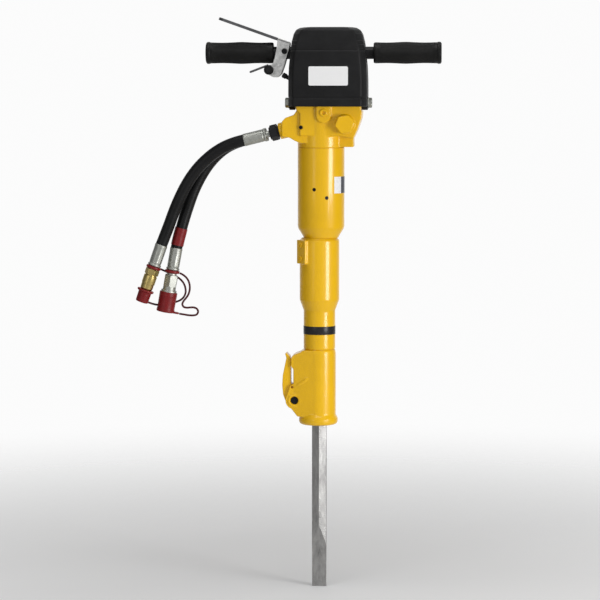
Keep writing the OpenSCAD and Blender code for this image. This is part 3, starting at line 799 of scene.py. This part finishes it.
rib = tube("rib", smooth_route(RIB), rib_radius)
retainer = cast("retainer_casting", [copied("retainer_housing", "retainer"), rib], 1.1, 4)
finish_piece(retainer, "yellow_cast", "housing", "retainer_housing")

latch = cast("latch_casting", [copied("retainer_latch", "latch")], 0.7, 4)
finish_piece(latch, "yellow_cast", "latch", "retainer_latch")

LATCH_PIVOT = (-48, 0, 369.5)
latch_front = facing((LATCH_PIVOT[0], -17.3, LATCH_PIVOT[2]))
latch_back = facing((LATCH_PIVOT[0], 13.4, LATCH_PIVOT[2]))
PIN_HEAD = [(0, 0), (7.4, 0), (7.4, 1.5), (6.6, 2.2), (4.4, 2.4), (3.6, 0.4), (0, 0.2)]
pin_head = lathe("latch_pin_head", PIN_HEAD, latch_front, 48, size=0.4)
pin_shaft = lathe("latch_pin_shaft", [(0, -37), (5, -37), (5, 0.5), (0, 0.5)], latch_front, 48)
finish_piece(join("latch_pin_turned", [pin_head, pin_shaft]), "black_steel", "housing", "latch_pin")
latch_spring = helix("latch_spring_coil", 7.4, 1.7, 0, 8, 4, latch_back)
finish_piece(latch_spring, "machined_steel", "housing", "latch_spring")

PAD_TURN = -55
PAD_OUT = -42.9
PAD_SCREW = [(0, 0), (5.4, 0), (5.5, 1.2), (4.4, 2.5), (2.6, 2.7), (2.4, 1.2), (0, 1.0)]
screws = [lathe("screw", PAD_SCREW, facing((0, PAD_OUT, z), PAD_TURN), 40, size=0.4) for z in (647, 673)]
finish_piece(join("pad_screw_heads", screws), "yellow_paint", "housing", "pad_screws")


# ---- Cylinder and backhead ----

rounded("upper_cylinder", "yellow_paint", 0.4)
rounded("gallery_plugs", "black_steel", 0.25)
dress("blank_label", material="label")

backhead = cast("backhead_casting", [copied("backhead", "head")], 1.3, 5)
finish_piece(backhead, "yellow_cast", "housing", "backhead")

PLUG_X, PLUG_Z = 51, 907
PLUG_FACE, PLUG_TIP = -51, -60
PLUG_CORNER_R = 18.76
plug_turns = [math.radians(a) for a in range(10, 370, 60)]
plug_outline = [(PLUG_X + PLUG_CORNER_R * math.cos(a), PLUG_Z + PLUG_CORNER_R * math.sin(a))
                for a in plug_turns]
plug_head = slab("hex_head", plug_outline, PLUG_TIP, PLUG_FACE, 1.3)
plug_place = facing((PLUG_X, PLUG_FACE, PLUG_Z))
plug_seat = lathe("hex_seat", [(0, -2), (17.5, -2), (17.5, 0.2), (0, 0.2)], plug_place, 96)
finish_piece(join("hex_plug_forged", [plug_head, plug_seat]), "yellow_paint", "housing", "hex_plug")
SOCKET_PLUG = [(0, -2), (3.2, -2), (3.2, 1.6), (4.2, 2.5), (6.6, 2.5), (7.5, 1.6), (7.5, -1), (0, -1)]
socket = lathe("socket_plug_turned", SOCKET_PLUG, facing((10, -50, 929)), 48, size=0.35)
finish_piece(socket, "yellow_paint", "housing", "socket_plug")
GAS_VALVE = [(0, 11), (4.2, 11), (5, 10), (5, 6.2), (8.6, 6.2), (9.8, 5.2), (9.8, 0), (0, 0)]
gas_place = facing((PLUG_X, 44.1, PLUG_Z), out=1)
gas_valve = lathe("charge_valve_turned", GAS_VALVE, gas_place, 72, hexagon(17), 0.3)
finish_piece(gas_valve, "machined_steel", "housing", "charge_valve")


# ---- Cover ----

RIM_Z = 941
# Height, half width, half depth and corner size of the cover's outside, from the rim up
COVER_LEVELS = [
    (RIM_Z, 74.6, 60.6, 10), (942.4, 75.7, 62, 10), (955, 75.9, 61, 10), (956.6, 74.9, 60, 10),
    (958.2, 74.9, 60, 10), (960.4, 75.9, 61.1, 10), (990, 75.7, 61.3, 10), (1017, 74.6, 61.2, 10),
    (1035, 72.7, 61, 10), (1046.4, 71.6, 60.8, 10), (1048.2, 70.2, 59.4, 10), (1050.2, 70.9, 59.9, 10),
    (1059, 70.2, 59.2, 11), (1066.5, 69.2, 58, 12), (1080, 65.8, 55.9, 13), (1086.6, 62, 54.8, 13),
    (1088.6, 60.2, 52.6, 14), (1091.8, 54.5, 45.5, 15), (1093, 47, 38, 15),
]
# The inside follows the outside, but leaves out the grooves and the narrow top
GROOVES = (956.6, 958.2, 1048.2)
TOP_HALF_W = 58
CROWN_Z = 1060
COVER_WALL = 4

# The blank badge on the cover's front
BADGE_X = (-18.3, 57.3)
BADGE_Z = (981.1, 1017.6)
BADGE_CORNER = 3
BADGE_THICK = 0.35


def cover_ring(w, d, corner, inset):
    """The cover's outline at one height, with long chamfered corners"""
    w, d = w - inset, d - inset
    side, front = d - corner * 1.9, w - corner
    octagon = [(w, -side), (w, side), (front, d), (-front, d),
               (-w, side), (-w, -side), (-front, -d), (front, -d)]
    return rounded_loop(octagon, 3.5)


def cover_shell():
    """A hollow shell, drawn down the outside from the top and up the inside from the rim"""
    rings = [(z, cover_ring(w, d, c, 0)) for z, w, d, c in reversed(soften(COVER_LEVELS, 0.7, 0.4))]
    for z, w, d, c in COVER_LEVELS:
        if w > TOP_HALF_W and z not in GROOVES:
            drop = COVER_WALL if z > CROWN_Z else 0
            rings.append((z - drop, cover_ring(w, d, c, COVER_WALL)))
    return loft("cover_hood", [[(p.x + COVER_X, p.y, z) for p in ring] for z, ring in rings], smooth=28)


def bolt_place(side):
    """The place of the cover's bolt on the right (1) or the left (-1)"""
    return sideways((COVER_X + side * COVER_HALF_W, 0, BOLT_Z), side)


def cover_piece():
    """The hood with windows for the handle bars, a hole for the start valve and two bolt bosses"""
    hood = cover_shell()
    sill, head = BAR_Z - 19, BAR_Z + 19
    for x0, x1 in ((-85, -40), (72, 110)):
        cut(hood, slab("window", [(x0, sill), (x1, sill), (x1, head), (x0, head)], -15.5, 15.5, 3))
    cut(hood, lathe("hole", [(0, 5), (8, 5), (8, 40), (0, 40)], tilted(VALVE, VALVE_TILT), 48, size=0))
    boss = [(0, -11.5), (14, -11.5), (14, 0), (0, 0)]
    return join("cover_hood", [hood, *(lathe("boss", boss, bolt_place(s), 48, size=1) for s in (-1, 1))])


finish_piece(cover_piece(), "black_plastic", "housing", "cover")


def cover_front(z):
    """The cover's half depth at a height"""
    for (za, _, da, _), (zb, _, db, _) in zip(COVER_LEVELS, COVER_LEVELS[1:]):
        if za <= z <= zb:
            return da + (db - da) * (z - za) / (zb - za)
    return COVER_HALF_D


def blank_badge():
    """A flat white plate with round corners that follows the cover's front and carries no mark"""
    (x0, x1), (z0, z1) = BADGE_X, BADGE_Z
    turns = [math.radians(15 * i) for i in range(7)]
    foot = [(z0 + BADGE_CORNER * (1 - math.cos(a)), BADGE_CORNER * (1 - math.sin(a))) for a in turns]
    bends = [(level[0], 0) for level in COVER_LEVELS if z0 + BADGE_CORNER < level[0] < z1 - BADGE_CORNER]
    rings = []
    for z, inset in foot + bends + [(z0 + z1 - z, inset) for z, inset in reversed(foot)]:
        left, right, face = x0 + inset, x1 - inset, -cover_front(z)
        rings.append([(left, face - BADGE_THICK, z), (right, face - BADGE_THICK, z),
                      (right, face + 1, z), (left, face + 1, z)])
    return bevelled(loft("badge_plate", rings), 0.12)


finish_piece(blank_badge(), "white_paint", "housing", "blank_badge")

# A flanged bolt from its shank to its head, and where the hexagon starts
BOLT = [
    (0, -16), (4.9, -16), (4.9, 0), (11, 0), (11, 1.7), (8.6, 1.8), (9.8, 1.9), (9.8, 6.9), (8.3, 8.2),
    (6.2, 8.3), (5.8, 7.7), (0, 7.7),
]
BOLT_HEX_LOW = 1.75
bolts = [lathe("bolt", BOLT, bolt_place(s), 72, hexagon(17, low=BOLT_HEX_LOW), 0.3) for s in (-1, 1)]
finish_piece(join("cover_bolt_set", bolts), "zinc", "housing", "cover_bolts")


# ---- Handles ----

rounded("left_arm", "black_steel", 1.2)
rounded("right_arm", "black_steel", 1.2)

# Radius and height along a grip, from the cover outwards
GRIP_PROFILE = [
    (12.1, 0), (18.6, 0), (20.0, 1.6), (20.3, 5), (19.9, 14), (19.75, 24), (19.9, 34), (20.4, 45),
    (20.9, 55), (21.1, 62), (20.9, 69), (20.4, 78), (19.9, 90), (19.75, 100), (19.9, 110), (20.2, 118),
    (20.3, 122.4), (21.1, 123.6), (21.4, 126), (20.8, 129.4), (18, 131), (0, 131),
]


def grip_flutes(angle, height):
    """The outline of the fine ribs that follow the grip's profile"""
    for (ra, ha), (rb, hb) in zip(GRIP_PROFILE[1:], GRIP_PROFILE[2:]):
        if ha <= height <= hb:
            radius = ra + (rb - ra) * (height - ha) / max(hb - ha, 1e-6)
            return fluted(radius, 60, 0.4, 9, 118)(angle, height)
    return NO_LIMIT


def grip(node, x, side, body):
    """A ribbed grip that starts at x and points to the right (1) or the left (-1)"""
    obj = lathe(node + "_moulded", GRIP_PROFILE, sideways((x, 0, BAR_Z), side), 240, grip_flutes, 0.8)
    finish_piece(obj, "grip_rubber", body, node)


grip("left_grip", -89, -1, "left_handle")
grip("right_grip", 104.5, 1, "right_handle")


def arm_spring(node, x):
    """A coil under a handle bar"""
    obj = helix(node + "_coil", 11, 4.4, 966.2, BAR_Z - 11.2, 6, Matrix.Translation((x, 16, 0)))
    finish_stretched(obj, "machined_steel", node)


arm_spring("left_arm_spring", -34)
arm_spring("right_arm_spring", 67)


# ---- Start lever, catch and start valve ----

# The blade's slope in degrees, the cheeks' outline as (x, z), and how far in and out they stand
BLADE_TILT = 180 + 19.5
CHEEK_IN, CHEEK_OUT = 16, 18.5
CHEEK = [
    (-80, 1073), (-56.5, 1064.7), (-57.5, 1055), (-67, 1021), (-73.5, 1003), (-81, 997), (-89, 997),
    (-103, 1005), (-104, 1015), (-98, 1021), (-90, 1022), (-86, 1033), (-82, 1053),
]


def cheek(y0, y1):
    return slab("cheek", rounded_loop(CHEEK, 3), y0, y1, 0.5)


def blade():
    """A pressed blade with turned-down edges and a round tip"""
    length, half = 122, 15
    turns = [math.pi * i / 20 for i in range(21)]
    outline = [(-1, -half), (-1, half)]
    outline += [(length - half + half * math.sin(a), half * math.cos(a)) for a in turns]
    middle = length / 2
    rings = []
    for inset, height in ((3, 0), (1.2, 0.1), (0.3, 0.6), (0, 1.6), (0, 5), (0.2, 5.4), (0.9, 5.6),
                          (1.6, 5.4), (1.8, 5), (1.8, 3.2), (2.4, 2.4), (4, 2.2)):
        scale_x, scale_y = 1 - inset / middle, 1 - inset / half
        rings.append([((x - middle) * scale_x + middle, y * scale_y, height) for x, y in outline])
    return loft("lever_blade", rings, tilted((-79, 0, 1072.5), BLADE_TILT))


def bridge():
    """The strip under the blade that joins the two cheeks"""
    y = CHEEK_OUT
    ends = [[(x, -y, 0), (x, y, 0), (x, y, 3), (x, -y, 3)] for x in (0, 24.5)]
    return bevelled(loft("bridge", ends, tilted((-56.5, 0, 1063.6), BLADE_TILT)), 0.9)


valve_place = tilted(VALVE, VALVE_TILT)
barrel = lathe("barrel", [(0, -7), (8.5, -7), (8.5, 7), (0, 7)], tilted(BARREL, VALVE_TILT), 48, size=0.8)
cross_rod = lathe("cross_rod", [(0, -17), (6.5, -17), (6.5, 17), (0, 17)], facing(BARREL), 48, size=0.5)
rivet = lathe("rivet", [(0, 0), (2.6, 0), (2.2, 0.9), (0, 1.1)], facing((-77, -18.4, 1020)), 24, size=0.3)
cheeks = [cheek(-CHEEK_OUT, -CHEEK_IN), cheek(CHEEK_IN, CHEEK_OUT), bridge(), barrel, cross_rod, rivet]
finish_piece(join("lever_cheeks", cheeks), "lever_alloy", "start_lever", "throttle_lever")
finish_piece(blade(), "lever_steel", "start_lever")

PIVOT_HEAD = [(0, 0), (5.5, 0), (5.5, 1.6), (3.4, 2.4), (2.6, 2.4), (2.3, 1), (0, 0.9)]
pivot_front = facing((LEVER_PIVOT[0], -20, LEVER_PIVOT[2]))
pivot_back = facing((LEVER_PIVOT[0], 21, LEVER_PIVOT[2]), out=1)
pivot_bolt = [
    lathe("bolt_head", PIVOT_HEAD, pivot_front, 40, size=0.3),
    lathe("bolt_shank", [(0, -41), (3.97, -41), (3.97, 1), (0, 1)], pivot_front, 32),
    lathe("bolt_end", [(0, 0), (5.5, 0), (5.5, 1.5), (0, 1.5)], pivot_back, 32),
]
finish_piece(join("lever_pin_turned", pivot_bolt), "black_steel", "left_handle", "lever_pin")

KNOB = [(2.6, 19.1), (8, 19.1), (9.2, 20.2), (9.2, 27.3), (7.6, 29.1), (2.6, 29.1)]
knob_flutes = fluted(9.2, 30, 0.35, 20.4, 27)
knob = lathe("catch_knob_turned", KNOB, facing(CATCH_PIVOT), 120, knob_flutes, 0.5, loop=True)
finish_piece(knob, "black_plastic", "catch", "catch_knob")

ROD_LENGTH = 39.1
ROD_STEPS = 24


def rod_radius(t):
    """The catch rod's radius along its length, with a round end"""
    return 2.1 * math.sqrt(max(0.03, 1 - max(0, (t - 0.955) / 0.045) ** 2))


rod_tilt = math.radians(-111)
rod_start = Vector((CATCH_PIVOT[0] - 0.5, -24, CATCH_PIVOT[2] + 9.4))
rod_way = Vector((math.sin(rod_tilt), 0, math.cos(rod_tilt)))
rod_path = [rod_start + rod_way * (ROD_LENGTH * i / ROD_STEPS) for i in range(ROD_STEPS + 1)]
finish_piece(tube("catch_rod_drawn", rod_path, rod_radius), "lever_steel", "catch", "safety_catch")

PUSH_ROD = [(0, 4), (3, 4), (5.2, 5), (5.2, 12), (4, 13), (4, 57.9), (0, 57.9)]
push_rod = lathe("push_rod_turned", PUSH_ROD, valve_place, 48, size=0.4)
finish_piece(push_rod, "black_steel", "start_valve", "push_rod")
spool_spring = helix("spool_spring_coil", 3.6, 1.15, 89.1, 111.4, 6, valve_place, sides=10)
finish_stretched(spool_spring, "machined_steel", "spool_spring")


# ---- Hose ends, couplings and caps ----

rounded("hose_adaptors", "black_steel", 0.4)


def hose_start(y):
    """The place of a hose's upper end, with +Z along the hose"""
    return tilted((PORT[0], y, PORT[2]), PORT_TILT)


NUT = [(6.8, 6.1), (13.6, 6.1), (15.6, 7.3), (15.6, 17.8), (13.6, 19), (12, 19), (12, 21), (6.8, 21)]
nuts = [lathe("nut", NUT, hose_start(y), 72, hexagon(27), 0.4, loop=True) for y in (-PORT_Y, PORT_Y)]
finish_piece(join("swivel_nuts", nuts), "black_steel", "housing", "hose_nuts")


def ferrule(name, place, length, stem):
    """A hose ferrule with crimped flats, drawn from its flange along +Z"""
    profile = [
        (5, -stem), (6.4, -stem), (6.4, 0), (11.5, 0), (13, 1), (13, 4), (11.2, 5), (11.4, 6.4), (12, 7.6),
        (12, length - 6), (12.3, length - 2), (11.6, length), (5, length),
    ]
    return lathe(name, profile, place, 160, fluted(12, 10, 0.65, 8, length - 7), 0.5, loop=True)


past_nut = Matrix.Translation((0, 0, 28))
upper = [ferrule("ferrule", hose_start(y) @ past_nut, 45, 13) for y in (-PORT_Y, PORT_Y)]
finish_piece(join("upper_ferrules_crimped", upper), "zinc", "housing", "upper_ferrules")

# The lower ends, with +Z along the coupling and the hose's end at 0
male_place = tilted(MALE_END, MALE_TILT)
female_place = tilted(FEMALE_END, FEMALE_TILT)


def lower_ferrule(name, place):
    """A ferrule with its flange towards the coupling"""
    flip = Matrix.Translation((0, 0, 44)) @ Matrix.Rotation(math.pi, 4, "X")
    return finish_piece(ferrule(name, place @ flip, 44, 6.5), "zinc", "housing", "lower_ferrules")


male_ferrule = lower_ferrule("male_ferrule", male_place)
female_ferrule = lower_ferrule("female_ferrule", female_place)

MARKER_LOW, MARKER_HIGH = 669, 704
marker_path = [p for p in smooth_route(RETURN_ROUTE, 8) if MARKER_LOW < p.z < MARKER_HIGH]
marker = tube("hose_marker_sleeve", marker_path, HOSE_D / 2 + 0.9, 48)
finish_piece(marker, "red_plastic", "housing", "hose_marker")


def cap_ring(name, place):
    """The vinyl ring that a cap's lanyard hangs from"""
    profile = [(6.5, 44.6), (14.5, 44.6), (14.5, 49.8), (6.5, 49.8)]
    obj = lathe(name, profile, place, 72, size=1.4, loop=True)
    return finish_piece(obj, "red_plastic", "housing", "cap_rings")


male_ring = cap_ring("male_cap_ring", male_place)
female_ring = cap_ring("female_cap_ring", female_place)

MALE_BODY = [
    (4.6, 50.6), (12.4, 50.6), (13.7, 51.6), (13.7, 61), (12.4, 62), (11.2, 62.1), (11.2, 63.6), (12.5, 64),
    (13, 64.6), (13, 80), (12.2, 81), (12.2, 90), (11, 92), (9.5, 92.2), (9.5, 96), (8.4, 97), (8.4, 100),
    (9.5, 101), (9.5, 108), (8.5, 109), (6.6, 109), (6.6, 72), (4.6, 72),
]
male_hex = hexagon(24, high=62.2)
male_body = lathe("male_coupler_turned", MALE_BODY, male_place, 192, male_hex, 0.4, loop=True)
finish_piece(male_body, "gold_zinc", "housing", "male_coupler")

FEMALE_BODY = [
    (4.6, 50.6), (9.5, 50.6), (9.5, 54), (12.4, 54.1), (13.85, 55.4), (13.85, 76.2), (12.5, 77.4),
    (12.6, 77.6), (12.6, 118), (9.6, 118), (9.6, 92), (7.05, 92), (7.05, 71), (4.6, 71),
]
female_hex = hexagon(24, 30, 54, 77.5)
female_body = lathe("female_coupler_turned", FEMALE_BODY, female_place, 144, female_hex, 0.4, loop=True)
finish_piece(female_body, "zinc", "housing", "female_coupler")

SLEEVE = [
    (12.7, 84), (14.6, 84), (15.2, 84.8), (15.2, 95), (14.4, 96), (14.4, 100), (15.2, 101), (15.2, 115),
    (14.6, 116), (12.7, 116),
]
sleeve = lathe("coupler_sleeve_knurled", SLEEVE, female_place, 216, size=0.3, loop=True)
finish_piece(sleeve, "zinc", "coupler_sleeve", "coupler_sleeve")


def tongue(place, x0, x1, z0, z1, half):
    """A flat vinyl tongue with rounded ends"""
    outline = rounded_loop([(x0, -half), (x1, -half), (x1, half), (x0, half)], half * 0.8, 5)
    return bevelled(loft("tongue", [[(p.x, p.y, z) for p in outline] for z in (z0, z1)], place), 0.9)


MALE_CAP = [
    (10.95, 93), (15.5, 93), (16.5, 94), (16.5, 96), (15.4, 97), (12.9, 98), (12.7, 103), (13, 103.8),
    (12.7, 104.6), (12.4, 117), (11.4, 119), (0, 118.4), (0, 115.5), (10.95, 115.5),
]
male_shell = lathe("male_cap_body", MALE_CAP, male_place, 96, size=1.0)
tongue_turn = Matrix.Rotation(math.radians(135), 4, "Z")
male_tongue = tongue(male_place @ tongue_turn, 8, 16, 115.4, 118.9, 3.5)
male_cap = join("male_cap_vinyl", [male_shell, male_tongue])
finish_piece(male_cap, "red_plastic", "male_cap", "male_cap")

FEMALE_CAP = [
    (15.65, 88), (16.6, 88), (17.4, 89), (17.3, 94), (17.7, 95), (17.3, 96), (17, 121), (17.8, 123),
    (17.8, 126.6), (16.6, 128), (0, 127.2), (0, 124), (15.65, 124),
]
female_shell = lathe("female_cap_body", FEMALE_CAP, female_place, 96, size=0.9)
female_tongue = tongue(female_place, -27, -10, 124.4, 127.9, 5)
female_cap = join("female_cap_vinyl", [female_shell, female_tongue])
finish_piece(female_cap, "red_plastic", "female_cap", "female_cap")
